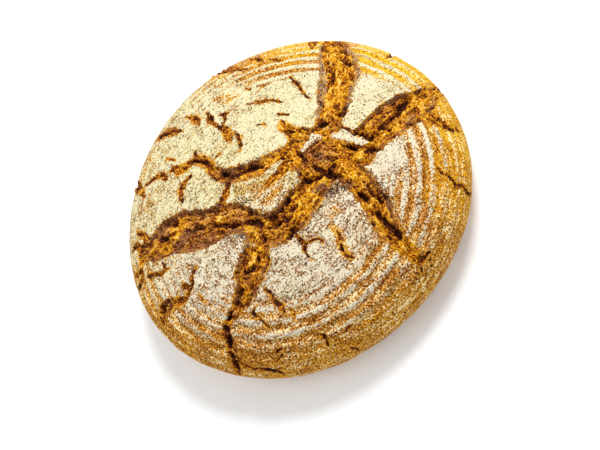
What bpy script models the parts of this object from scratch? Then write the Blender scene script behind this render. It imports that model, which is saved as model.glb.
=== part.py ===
# A round farmhouse loaf, one solid: flat underneath, a low crown above, burst open in a star.
# Places on the crust are given on a flat map, in millimetres. The map is the crust spread out
# from the top of the loaf: the distance from (0, 0) is the length along the crust from the top.

import math
import random

import bmesh
import bpy
import numpy as np
from mathutils.geometry import delaunay_2d_cdt

# Driving dimensions of the loaf, in millimetres
LOAF_RADIUS = 135.0
LOAF_HEIGHT = 77.0
WIDEST_LEVEL = 28.0
BASE_SHARE = 0.88
CROWN_POWER = 2.15

# How the plan departs from a circle: waves round the loaf, cosine share, sine share
PLAN_WAVES = (
    (2, 0.0017, -0.0045),
    (3, -0.0020, -0.0111),
    (4, 0.0024, 0.0010),
    (5, -0.0021, 0.0015),
)

# Ridges that the coiled proving basket pressed into the dough
RING_CENTRE = (-4.5, -20.0)
RING_RADIUS = 93.7
RING_SPACING = 9.2
RING_COUNT = 6
RING_HEIGHT = 0.8
RING_START = 12.0
RING_END = 14.0
RING_CLEAR = 5.0

# Tears in the crust: how deep they are, and the shape of their sides
TEAR_DEPTH = 1.3
TEAR_DEPTH_SHARE = 0.62
TEAR_DEPTH_MOST = 9.0
WALL_WIDTH = 2.8
WALL_SHARE = 0.6
WALL_LEAST = 0.1
FLOOR_RISE = 0.42
FLOOR_RISE_FROM = 5.0
LIP_HEIGHT = 1.1
LIP_WIDTH = 6.0
LIP_TEARS = (2.0, 9.0)
CRAG_HEIGHT = 1.5
CRAG_TEARS = (3.0, 8.0)
CRAG_REACH = (1.0, 4.0)
PIT_REACH = 2.0

# The crust's relief fades out between these two lengths above the edge of the base
FADE_START = 22.0
FADE_END = 6.0

# Wide tears: points of the centre line on the flat map, each with half the width there
WIDE_TEARS = {
    "star": ((20, -10, 6.5), (30, -6, 8.5), (40, -4, 8), (52, -6, 9.5), (58, -9, 6.5)),
    "star_east": ((25, -20, 9), (40, -25, 14), (46, -35, 14), (56, -43, 11), (66, -39, 12.5)),
    "star_south": ((46, -35, 14), (41, -50, 10), (43, -60, 9.2)),
    "star_west": ((4, -10.5, 2.8), (12, -10, 4), (20, -10, 6.5), (25, -20, 9), (24, -32, 9)),
    "north_east": (
        (60, -4.5, 10.3), (68.2, 1.8, 11.7), (80.6, 15.2, 13.9), (90, 24, 15.6), (99, 38, 14),
        (102.4, 50, 12.5), (107.2, 61, 9.8), (110.5, 70, 7.3), (111, 80, 3), (111, 92, 1.5),
    ),
    "east": (
        (66, -38, 13), (75, -37, 13.3), (85, -36.5, 14), (95, -36, 14.5), (105, -36, 14.5),
        (115, -36, 12.5), (125, -33.5, 8.5), (135, -31, 6.5), (145, -29, 4.5), (155, -27, 2.5),
    ),
    "east_branch": ((110, -42, 9), (113, -50, 6.5), (116, -57, 4.5), (119, -63, 3), (122, -67, 2)),
    "south": (
        (43, -60, 9.2), (41.8, -70, 9.3), (40.5, -80, 9.3), (37.8, -90, 8.8), (34.5, -100, 8.3),
        (34.4, -110, 5.8), (35, -120, 5.2), (36, -129, 4.2), (37, -133, 2),
    ),
    "north_west": (
        (46, -35, 12), (35, -36, 12), (20, -41, 11.5), (5, -42, 13.5), (-8, -45, 12.5),
        (-20, -43, 13.5), (-30, -32, 10), (-31, -22, 9), (-38, -10, 11), (-46, -4, 13),
        (-53, -1, 14), (-64, 8, 15.5), (-73, 18, 15.5), (-86, 26, 14.5), (-97, 31, 10.5),
        (-103, 34.5, 7.5), (-108, 40, 6.5),
    ),
    "west_fork": ((-108, 38, 5), (-114, 36, 4.5), (-119, 33, 3), (-125, 35.5, 2.5), (-129, 39, 1.5)),
    "south_west": (
        (-30, -34, 10), (-38, -42, 10), (-47, -47, 12), (-55, -51, 11.5), (-63, -56, 9.5),
        (-72, -59.5, 7.5), (-80, -61.5, 5), (-88, -61, 3.8), (-95, -62, 3.5), (-99, -66, 4),
        (-101.5, -71, 4.5), (-106, -76, 5), (-110, -81, 5), (-116, -85, 4), (-124, -87, 2.6),
        (-134, -88, 1.2),
    ),
    "north_hook": (
        (30, -4, 8), (22, -1.5, 5.5), (14, 2, 4.5), (6, 4.5, 5.2), (0, 5.8, 5.9), (-10, 10.5, 6.8),
        (-15.5, 15.5, 6.8), (-21.5, 21.5, 6.2), (-25, 28, 5.2), (-25.5, 34, 4.3), (-25, 41, 4.3),
        (-26, 48, 4.6), (-28.5, 54, 4.5), (-34, 56.5, 2.8), (-40, 58, 4), (-44, 62, 4.5),
        (-47.5, 67, 3), (-50.5, 69, 1.2),
    ),
    "north": ((35.5, 23, 1.4), (33.3, 18.5, 3.8), (34, 12, 4.3), (35, 6, 5.8), (37, 1, 8)),
    "far_rim": ((30, 140, 8), (34, 128, 7), (37, 118, 5.5), (40.5, 108, 3), (44.5, 101, 1.6), (48.5, 96, 1)),
    "far_slash": (
        (-44, 121, 3), (-38, 114, 4), (-33, 108, 5), (-29, 102, 4.6), (-25, 95, 2.4), (-22, 90, 1),
    ),
    "west": (
        (-133, -13, 3), (-127, -10, 5), (-120, -10.5, 5.5), (-114, -14, 5), (-108, -19, 3.5),
        (-102.5, -22, 2.6), (-96, -21.5, 1.4), (-91.5, -19.5, 2), (-87, -15.5, 1.8), (-80, -13.3, 1),
    ),
}

# Narrow cracks, given in the same way
CRACKS = (
    ((-24, 14.5, 2.6), (-31, 9, 3), (-36, 6.5, 3), (-42, 5, 3)),
    ((-99, 42, 4), (-99.5, 49, 3), (-101.5, 56, 2), (-104, 59, 1)),
    ((-108, 44, 4), (-110, 53, 2.5), (-117, 56, 2), (-120, 58, 1)),
    ((-119, 30, 2), (-123, 27, 2.8), (-130, 27, 2.8), (-136, 31, 2.4), (-142, 37, 1.8)),
    ((-28.5, 56, 2), (-26.5, 61, 1.2)),
    ((-46, 64, 2), (-46, 70, 1)),
    ((-73, 87, 1.5), (-66, 82, 1.7), (-61, 79, 2.2), (-58, 75, 3.2), (-56.5, 70, 3), (-57, 66.5, 1.5)),
    ((-41, 47.5, 1.5), (-50, 47.5, 2.8), (-54.5, 45, 2.6), (-57.5, 40, 2), (-58.5, 36.5, 1)),
    ((-84, 112, 4), (-82, 104, 5), (-80.5, 95, 4.5), (-79.5, 86, 3), (-79.5, 77, 1)),
    ((-13.5, 102, 1), (-11, 96, 2), (-9.8, 90, 3.6), (-9, 85, 3), (-10.3, 80.5, 1)),
    ((0.5, 84.5, 1), (0.5, 80.5, 1.6), (-1.5, 75.5, 4), (-1.8, 69, 2), (-1, 63, 1.2)),
    ((-1, 63, 1.2), (1, 57, 2.8), (0.8, 51, 3.8), (-0.8, 46, 3.2), (-2, 42, 1.2)),
    ((1.5, 60, 1.6), (6.5, 63.5, 1.6), (9, 67, 2.2), (6, 72, 1)),
    ((4.5, 46, 1), (5.3, 41.5, 1.6), (1.5, 32, 1.8), (-1.2, 28.5, 1)),
    ((27, 60, 1), (35, 52.5, 2.1), (39, 49.3, 1.4), (44.5, 41, 1.3), (46, 37, 1)),
    ((64.5, 55, 1), (64, 46, 1.5), (61.3, 29, 1.3), (61.8, 23.5, 1)),
    ((55, 113, 1.5), (57, 106, 3), (58.5, 100, 3.6), (59.5, 95, 2.2), (59.5, 91, 1)),
    ((65.5, 91, 1), (67.5, 86, 1.9), (69.5, 81, 1.4), (70.3, 77, 1)),
    ((101, 90, 2), (99, 82, 3.5), (96, 76, 2)),
    ((62, -14, 1.5), (62.3, -20, 1.5), (63, -25, 2), (66, -30, 3)),
    ((-111, -86, 2.5), (-109.5, -92, 2), (-108, -97, 1.4), (-101, -105, 2), (-98, -114, 1.4)),
    ((-70.3, -71, 1), (-73.5, -73, 1.3), (-73.5, -88, 1.2)),
    ((-55.6, -68.5, 1), (-55, -73, 1.5), (-56, -82, 1.6), (-56, -86, 3), (-57.5, -90, 1.2)),
    ((-52, -117.5, 1.2), (-49.7, -122, 1.5), (-54, -129, 1)),
    ((-45, -143.5, 1), (-45.5, -151, 2.4)),
    ((-117, 21, 1.5), (-109, 13, 2), (-105, 9.5, 2.2), (-97.5, 5.5, 1)),
    ((-97, -15.5, 2.6), (-94.5, -18.5, 1.6)),
    ((-14.5, -58, 1.8), (-14, -68, 1.8), (-4.5, -72.5, 1), (-4, -76, 1)),
    ((-14, -68, 1.2), (-18, -73, 1.2), (-17, -80, 1)),
    ((8, -70, 2), (7, -76, 2.6), (3, -88, 2.4), (0.5, -93, 1.6), (4, -102, 1)),
    ((90, -87, 1), (93.5, -96, 1.3), (93.5, -104.5, 1.9), (100.2, -107.2, 1.6), (101.5, -112, 2.2)),
    ((101.5, -112, 2.2), (106, -116, 2), (116, -118, 1)),
    ((38, -131.5, 2), (46, -131, 1.4)),
)

# Scraps of crust left standing inside the wide tears, given in the same way
SCRAPS = (
    ((31.5, -9, 1.5), (37, -8, 1.7), (43, -8, 1.5)),
    ((55.5, -19.5, 3.2), (59.5, -26.5, 2.8), (63.2, -34, 2.2), (65.5, -38, 1.2)),
)

# Holes in the crumb at the bottom of the tears: place, radius and extra depth
PITS = (
    (18, -32, 4, 4), (22.5, -45.5, 4, 3), (37, -24, 5, 3), (37, -38, 5, 4), (57, -36, 3.5, 4),
    (54, -1, 3, 2.5), (69, -6, 2.5, 2), (83, 24, 4, 2.5), (105.5, 33, 4, 3), (91, 34, 3, 2),
    (66, -46, 4, 3), (70, -27, 4, 2.5), (82, -37, 4, 3), (102, -33, 5, 3), (113, -28, 4, 3),
    (36, -93, 4, 3.5), (37, -108, 4, 3.5), (34, -123, 4, 2.5), (40, -131, 3.5, 2),
    (-13, -54.5, 5, 3.5), (-30, -24, 4, 4), (-17, -35, 6, 3), (-2, -36, 5, 2.5), (-40, -16, 5, 2.5),
    (-91, 28, 3.5, 3.5), (-78, 34, 4, 2.5), (-54, 3, 4, 2), (-100, -70, 4, 2.5), (-110, -81, 4, 2),
    (-122, -8, 4, 2), (-21, 24, 3, 2), (4, 5.5, 3, 2),
)

# Spacing of the mesh's corners, in millimetres; a room is the least distance between two
RIM_STEP = 3.1
FLOOR_STEP = 3.0
NEAR_STEP = 5.6
PLATE_STEP = 8.0
RING_STEP = 7.5
SIDE_STEP = 8.5
SIDE_ROWS = 5
CLOSEST_SHARE = 0.7
RIM_ROOM = 1.86
FOOT_ROOM = 2.2
RIDGE_ROOM = 3.86
NARROW = 2.6
NARROW_FOOT = 0.9
NARROW_ROOM = 0.9
RIM_SLACK = 0.3
FOOT_SLACK = 0.5
TEAR_MARGIN = 2.0
PLATE_MARGIN = 6.0
NEAR_MARGIN = 12.0
FLOOR_MARGIN = 1.0
SEED = 11

CRUST_COLOUR = (0.66, 0.42, 0.16, 1.0)
CRUST_ROUGHNESS = 0.85


def crown_profile(steps=1200):
    """Length along the crust, radius as a share of the plan, and height, from top to base."""
    dome = LOAF_HEIGHT - WIDEST_LEVEL
    power = 2 / CROWN_POWER
    turn = np.linspace(0, 2, steps)
    up = np.clip(turn, 0, 1) * math.pi / 2
    down = (np.clip(turn, 1, 2) - 1) * math.pi / 2
    above = turn <= 1
    share = np.where(above, np.sin(up) ** power, BASE_SHARE + (1 - BASE_SHARE) * np.cos(down))
    crown = WIDEST_LEVEL + dome * np.abs(np.cos(up)) ** power
    height = np.where(above, crown, WIDEST_LEVEL * (1 - np.sin(down)))
    height[-1] = 0
    pieces = np.hypot(np.diff(share * LOAF_RADIUS), np.diff(height))
    length = np.concatenate(([0], np.cumsum(pieces)))
    return length, share, height


PROFILE = crown_profile()
CRUST_LENGTH = PROFILE[0][-1]


def smooth(value, low, high):
    """A soft step from 0 at low to 1 at high."""
    share = np.clip((value - low) / (high - low), 0, 1)
    return share * share * (3 - 2 * share)


def inside(points, line):
    """How far each point lies inside a strip, and the strip's half width beside it."""
    deepest = np.full(len(points), -1e6)
    width = np.zeros(len(points))
    for start, end in zip(line, line[1:]):
        a = np.array(start[:2], float)
        run = np.array(end[:2], float) - a
        along = np.clip((points - a) @ run / (run @ run), 0, 1)
        away = np.linalg.norm(points - a - along[:, None] * run, axis=1)
        half = start[2] + along * (end[2] - start[2])
        nearer = half - away > deepest
        deepest = np.where(nearer, half - away, deepest)
        width = np.where(nearer, half, width)
    return deepest, width


def tear_reach(points):
    """Distance inside the nearest tear, below 0 on whole crust, and half that tear's width."""
    deepest = np.full(len(points), -1e6)
    width = np.zeros(len(points))
    for line in (*WIDE_TEARS.values(), *CRACKS):
        reach, half = inside(points, line)
        nearer = reach > deepest
        deepest = np.where(nearer, reach, deepest)
        width = np.where(nearer, half, width)
    for line in SCRAPS:
        deepest = np.minimum(deepest, -inside(points, line)[0])
    return deepest, width


def ring_ridges(points):
    """Height of the basket's ridges, which show where the crust is whole near the rim."""
    away = np.linalg.norm(points - np.array(RING_CENTRE), axis=1)
    wave = np.cos((away - RING_RADIUS) / RING_SPACING * 2 * math.pi)
    last = RING_RADIUS + RING_COUNT * RING_SPACING
    first = smooth(away, RING_RADIUS - RING_START, RING_RADIUS)
    return RING_HEIGHT * wave * first * (1 - smooth(away, last - RING_END, last))


def relief(points, crags):
    """Height of the finished crust above the plain crown, in millimetres."""
    reach, half = tear_reach(points)
    depth = np.minimum(TEAR_DEPTH + TEAR_DEPTH_SHARE * half, TEAR_DEPTH_MOST)
    wall = np.minimum(WALL_WIDTH, WALL_SHARE * half + WALL_LEAST)
    middle = smooth(reach, wall, np.maximum(half, wall + 0.5)) * (half > FLOOR_RISE_FROM)
    floor = depth * (1 - FLOOR_RISE * middle)
    drop = smooth(reach, 0, wall) * floor
    curl = np.exp(np.minimum(reach, 0) / LIP_WIDTH) * (reach <= 0)
    lip = LIP_HEIGHT * curl * smooth(half, *LIP_TEARS)
    ridges = ring_ridges(points) * smooth(-reach, 0, RING_CLEAR)
    rough = crags * smooth(reach, *CRAG_REACH) * smooth(half, *CRAG_TEARS)
    for x, y, radius, extra in PITS:
        away = np.hypot(points[:, 0] - x, points[:, 1] - y)
        drop = drop + extra * (1 - smooth(away, 0, radius)) * smooth(reach, 0, PIT_REACH)
    low = CRUST_LENGTH - np.linalg.norm(points, axis=1)
    return (lip + ridges + rough - drop) * smooth(low, FADE_END, FADE_START)


def crust_points(points, heights):
    """Places in the loaf, in metres, of points of the flat map raised by heights."""
    length, share, height = PROFILE
    along = np.minimum(np.linalg.norm(points, axis=1), CRUST_LENGTH)
    angle = np.arctan2(points[:, 1], points[:, 0])
    plan = np.full(len(points), 1.0)
    for waves, cosine, sine in PLAN_WAVES:
        plan = plan + cosine * np.cos(waves * angle) + sine * np.sin(waves * angle)
    radius = np.interp(along, length, share) * LOAF_RADIUS * plan
    level = np.interp(along, length, height)
    outward = -np.gradient(height, length)
    upward = np.gradient(share * LOAF_RADIUS, length)
    radius = radius + heights * np.interp(along, length, outward)
    level = level + heights * np.interp(along, length, upward)
    level = np.where(along >= CRUST_LENGTH - 0.001, 0, np.maximum(level, 0))
    return np.column_stack((radius * np.cos(angle), radius * np.sin(angle), level)) / 1000


def strip_row(line, offset, step):
    """Points along both sides and round the ends of a strip, at an offset inside its edge."""
    row = []
    for start, end in zip(line, line[1:]):
        run = math.dist(start[:2], end[:2])
        across = ((start[1] - end[1]) / run, (end[0] - start[0]) / run)
        count = max(1, round(run / step))
        for i in range(count + 1):
            x, y, half = (a + (b - a) * i / count for a, b in zip(start, end))
            for shift in (offset - half, half - offset):
                row.append((x + across[0] * shift, y + across[1] * shift))
    for x, y, half in line:
        away = max(half - offset, 0)
        row += circle_row((x, y), away, min(step, away + 0.5)).tolist()
    return np.array(row)


def circle_row(centre, radius, step, turn=0.0):
    """Points evenly spaced round a circle, turned on by a share of their spacing."""
    count = max(5, round(2 * math.pi * radius / step))
    angles = (np.arange(count) + turn % 1) * 2 * math.pi / count
    return np.column_stack((centre[0] + radius * np.cos(angles), centre[1] + radius * np.sin(angles)))


def grid_points(step):
    """Points of a triangular grid over the whole crust."""
    rows = np.arange(-int(CRUST_LENGTH / step * 1.2), int(CRUST_LENGTH / step * 1.2) + 1)
    across, up = np.meshgrid(rows, rows)
    return np.column_stack((((across + up % 2 / 2) * step).ravel(), (up * step * 0.866).ravel()))


class Scatter:
    """Keeps corners on the flat map that lie far enough from those kept before."""

    CELL = 4

    def __init__(self):
        self.kept = []
        self.cells = {}

    def add(self, points, room):
        for point in points.tolist():
            self.place(tuple(point), room)

    def place(self, point, room):
        reach = int(room // self.CELL) + 1
        column = int(point[0] // self.CELL)
        row = int(point[1] // self.CELL)
        for i in range(column - reach, column + reach + 1):
            for j in range(row - reach, row + reach + 1):
                for other in self.cells.get((i, j), ()):
                    if math.dist(other, point) < room:
                        return
        self.cells.setdefault((column, row), []).append(point)
        self.kept.append(point)


def mesh_corners():
    """Corners of the mesh on the flat map, closest together at the tears."""
    scatter = Scatter()
    for i in range(SIDE_ROWS):
        row = circle_row((0, 0), CRUST_LENGTH - i * SIDE_STEP, SIDE_STEP, i / 2)
        clear = tear_reach(row)[0] < -TEAR_MARGIN
        scatter.add(row[clear] if i else row, SIDE_STEP * CLOSEST_SHARE)
    within = CRUST_LENGTH - SIDE_STEP / 2

    # The rims come first, then the foot of each wall
    lines = (*WIDE_TEARS.values(), *CRACKS, *SCRAPS)
    for line in lines:
        rim = strip_row(line, 0, RIM_STEP)
        scatter.add(rim[np.abs(tear_reach(rim)[0]) < RIM_SLACK], RIM_ROOM)
    for line in lines:
        narrow = max(point[2] for point in line) < NARROW
        foot = NARROW_FOOT if narrow else WALL_WIDTH
        row = strip_row(line, foot, RIM_STEP)
        near = np.abs(tear_reach(row)[0] - foot) < FOOT_SLACK
        scatter.add(row[near], NARROW_ROOM if narrow else FOOT_ROOM)

    # The basket's ridges have a row of corners on each crest and in each valley
    for i in range(-1, 2 * RING_COUNT):
        row = circle_row(RING_CENTRE, RING_RADIUS + i * RING_SPACING / 2, RING_STEP, i / 2)
        row = row[np.linalg.norm(row, axis=1) < CRUST_LENGTH - SIDE_ROWS * SIDE_STEP]
        scatter.add(row[tear_reach(row)[0] < -TEAR_MARGIN], RIDGE_ROOM)

    grids = (
        (FLOOR_STEP, FLOOR_MARGIN, np.inf),
        (NEAR_STEP, -NEAR_MARGIN, -TEAR_MARGIN),
        (PLATE_STEP, -np.inf, -PLATE_MARGIN),
    )
    for step, low, high in grids:
        grid = grid_points(step)
        grid = grid[np.linalg.norm(grid, axis=1) < within]
        reach = tear_reach(grid)[0]
        scatter.add(grid[(reach > low) & (reach < high)], step * CLOSEST_SHARE)
    return scatter.kept


def bread_material():
    """Browned crust with flour on it, as one plain colour."""
    material = bpy.data.materials.new("loaf")
    material.use_nodes = True
    shader = material.node_tree.nodes["Principled BSDF"]
    shader.inputs["Base Color"].default_value = CRUST_COLOUR
    shader.inputs["Roughness"].default_value = CRUST_ROUGHNESS
    shader.inputs["Metallic"].default_value = 0
    return material


def build_loaf():
    """The crust, closed by one flat face underneath."""
    flat, _, faces, *_ = delaunay_2d_cdt(mesh_corners(), [], [], 0, 1e-4)
    points = np.array([tuple(corner) for corner in flat])
    source = random.Random(SEED)
    crags = np.array([source.uniform(-CRAG_HEIGHT, CRAG_HEIGHT) for _ in points])
    places = crust_points(points, relief(points, crags))

    shape = bmesh.new()
    corners = [shape.verts.new(place) for place in places]
    for face in faces:
        shape.faces.new([corners[i] for i in face])
    rim = [edge for edge in shape.edges if edge.is_boundary]
    bmesh.ops.contextual_create(shape, geom=rim)
    bmesh.ops.triangulate(shape, faces=shape.faces[:])
    bmesh.ops.recalc_face_normals(shape, faces=shape.faces[:])

    mesh = bpy.data.meshes.new("loaf")
    shape.to_mesh(mesh)
    shape.free()
    mesh.shade_smooth()
    mesh.materials.append(bread_material())
    loaf = bpy.data.objects.new("loaf", mesh)
    bpy.context.scene.collection.objects.link(loaf)
    return loaf


for leftover in list(bpy.data.objects):
    bpy.data.objects.remove(leftover)
build_loaf()
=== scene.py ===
import math
import bmesh
import bpy
import numpy as np
from mathutils import Matrix, Vector, noise
from types import SimpleNamespace


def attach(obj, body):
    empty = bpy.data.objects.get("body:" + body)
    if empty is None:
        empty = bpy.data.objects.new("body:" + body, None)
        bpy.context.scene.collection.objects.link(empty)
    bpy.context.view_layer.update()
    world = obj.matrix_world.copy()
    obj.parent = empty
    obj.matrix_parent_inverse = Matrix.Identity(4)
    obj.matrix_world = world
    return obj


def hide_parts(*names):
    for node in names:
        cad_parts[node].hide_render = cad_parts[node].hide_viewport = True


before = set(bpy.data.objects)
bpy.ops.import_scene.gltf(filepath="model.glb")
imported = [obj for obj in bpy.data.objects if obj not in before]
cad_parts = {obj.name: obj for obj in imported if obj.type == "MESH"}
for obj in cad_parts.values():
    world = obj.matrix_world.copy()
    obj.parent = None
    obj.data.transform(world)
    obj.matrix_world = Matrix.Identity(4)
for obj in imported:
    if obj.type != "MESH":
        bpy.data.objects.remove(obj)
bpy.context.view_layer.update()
print("frame loaded")

# The loaf's own form. Lengths are millimetres. Places on the crust are given on a flat map:
# the crust spread out from its top, so the distance from (0, 0) is the length along the crust.
loafShape = {
    "radius": 135.0,
    "height": 77.0,
    "widestLevel": 28.0,
    "baseShare": 0.88,
    "crownPower": 2.15,
    "planWaves": ((2, 0.0017, -0.0045), (3, -0.0020, -0.0111), (4, 0.0024, 0.0010), (5, -0.0021, 0.0015)),
    "baseAngle": 150,        # polar angle on the starting ball where the flat base begins
    "plateEdge": 2.8,        # longest mesh edge on whole crust
    "tearEdge": 1.25,        # longest mesh edge in the tears and cracks
    "tearMargin": 1.6,       # how far onto whole crust the fine mesh goes
    "swell": 0.35,           # slow unevenness of the crust
    "grit": 0.2,             # fine unevenness
}

# Ridges left by the coiled proving basket
basketRings = {
    "centre": (-4.5, -20.0),
    "radius": 93.7,
    "spacing": 9.2,
    "count": 6,
    "height": 0.8,
    "wobble": 1.5,           # how far a ridge wanders from its circle
}

# How the crust tore open
tearShape = {
    "depth": 1.0,
    "depthShare": 0.28,
    "depthMost": 4.0,
    "farWall": 2.0,          # width of the steep side, away from the camera's side of a tear
    "nearWall": 5.0,         # width of the gentle side
    "floorRise": 0.4,
    "lipHeight": 0.45,
    "lipWidth": 5.0,
    "ragged": 1.5,           # how far the torn edge wanders
    "crumbHeight": 1.4,      # roughness of the torn crumb
    "crumbSize": 4.2,
    "crumbSharp": 2.6,
    "crumbRange": (-3.2, 1.8),
    "strandStretch": 0.42,   # the crumb's strands run along the tear: their width over their length
    "grainHeight": 1.2,
    "grainSize": 2.3,
    "fissureDepth": 3.0,
    "holeShare": 0.5,        # how much of a hole's extra depth is real; the rest is only painted shade
    "scrapDrop": 0.6,        # how far a scrap of crust has sunk, as a share of the tear's depth
    "farRim": (92, 112),     # on the far rim the tears hardly opened
    "farRimShut": 0.6,
    "seenShift": 0.74,       # how far the camera sees a sunken place shifted, as a share of its depth
}

# Painted shade in the tears: how much each of these darkens a place's colour, besides the real shading of its
# shape; the crumb's crests are lightened, a painted highlight
hollowShare = {"middle": 0.5, "crumb": -0.16, "split": 0.7, "hole": 0.05, "narrow": 0.45, "foot": 0.14}

# Wide tears: points of the centre line, each with half the width there
wideTears = {
    "star": ((20, -10, 6.5), (30, -6, 8.5), (38, -5, 7), (47, -8, 6.8), (53, -8, 7.6), (58, -8, 8.6)),
    "starMiddle": ((36, -14, 8), (46, -16, 8), (53, -16, 7.5), (56, -24, 6.5), (60, -32, 5)),
    "starEast": ((25, -20, 9), (40, -25, 14), (46, -35, 14), (56, -43, 11), (66, -39, 12.5)),
    "starSouth": ((46, -35, 13.4), (42.5, -50, 9.4), (43, -60, 9.2)),
    "starWest": (
        (-2.5, -11.4, 3), (4, -11.3, 3.8), (12, -11, 4.4), (20, -10.5, 6.5), (25, -20, 9), (24, -32, 9)),
    "northEast": (
        (60, -4.5, 10.3), (68.2, 1.8, 11.7), (80.6, 15.2, 13.9), (90, 24, 15.6), (99, 38, 14),
        (102.4, 50, 12.5), (107.2, 58, 11), (109, 65, 9.4), (110, 72, 4), (110.5, 80, 1.2)),
    "east": (
        (66, -38, 13), (75, -37, 13.3), (85, -36.5, 14), (95, -36, 14.5), (105, -36, 14.5),
        (115, -36, 12.5), (125, -33.5, 8.5), (135, -31, 6.5), (145, -29, 4.5), (155, -27, 2.5)),
    "eastBranch": ((110, -42, 9), (113, -50, 6.5), (116, -57, 4.5), (119, -63, 3), (122, -67, 2)),
    "south": (
        (43, -60, 9.2), (41.8, -70, 9.3), (40.5, -80, 9.3), (37.8, -90, 8.8), (34.5, -100, 8.3),
        (34.4, -110, 5.8), (35, -120, 5.2), (36, -129, 4.2), (37, -133, 2)),
    "northWest": (
        (46, -35, 12), (35, -35, 10.8), (20, -40, 10.8), (5, -42, 13.5), (-8, -45, 12.5),
        (-20, -43, 13.5), (-30, -32, 10), (-31, -22, 9), (-38, -10, 11), (-46, -4, 13),
        (-53, -1, 14), (-64, 8, 15.5), (-73, 18, 15.5), (-86, 26, 14.5), (-97, 31, 10.5),
        (-103, 34.5, 7.5), (-108, 40, 6.5)),
    "westFork": ((-108, 38, 5), (-114, 36, 4.5), (-119, 33, 3), (-125, 35.5, 2.5), (-129, 39, 1.5)),
    "southWest": (
        (-30, -34, 10), (-38, -42, 10), (-47, -47, 12), (-55, -51, 11.5), (-63, -56, 9.5),
        (-72, -59.5, 7.5), (-80, -61.5, 5), (-88, -61, 3.8), (-95, -62, 3.5), (-99, -66, 4),
        (-101.5, -71, 4.5), (-106, -76, 5), (-110, -81, 5), (-116, -85, 4), (-124, -87, 2.6),
        (-134, -88, 1.2)),
    "northHook": (
        (30, -4, 8), (22, -1.5, 5.5), (14, 1.6, 4.6), (6, 3.9, 5.8), (0, 5.2, 6.4), (-10, 10.5, 6.8),
        (-15.5, 15.5, 6.8), (-21.5, 21.5, 6.2), (-25, 28, 5.2), (-25.5, 34, 4.3), (-25, 41, 4.3),
        (-26, 48, 4.6), (-28.5, 54, 4.5), (-34, 56.5, 2.8), (-40, 58, 4), (-44, 62, 4.5),
        (-47.5, 67, 3), (-50.5, 69, 1.2)),
    "north": ((35.5, 23, 1.4), (33.3, 18.5, 3.8), (34, 12, 4.3), (35, 6, 5.8), (37, 1, 8)),
    "farRim": ((30, 140, 8), (34, 128, 7), (37, 118, 5.5), (40.5, 108, 3), (44.5, 101, 1.6), (48.5, 96, 1)),
    "farSlash": ((-44, 121, 3), (-38, 114, 4), (-33, 108, 5), (-29, 102, 4.6), (-25, 95, 2.4), (-22, 90, 1)),
    "west": (
        (-133, -13, 3), (-127, -10, 5), (-120, -10.5, 5.5), (-114, -14, 5), (-108, -19, 3.5),
        (-102.5, -22, 2.6), (-96, -21.5, 1.4), (-91.5, -19.5, 2), (-87, -15.5, 1.8), (-80, -13.3, 1)),
}

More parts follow.
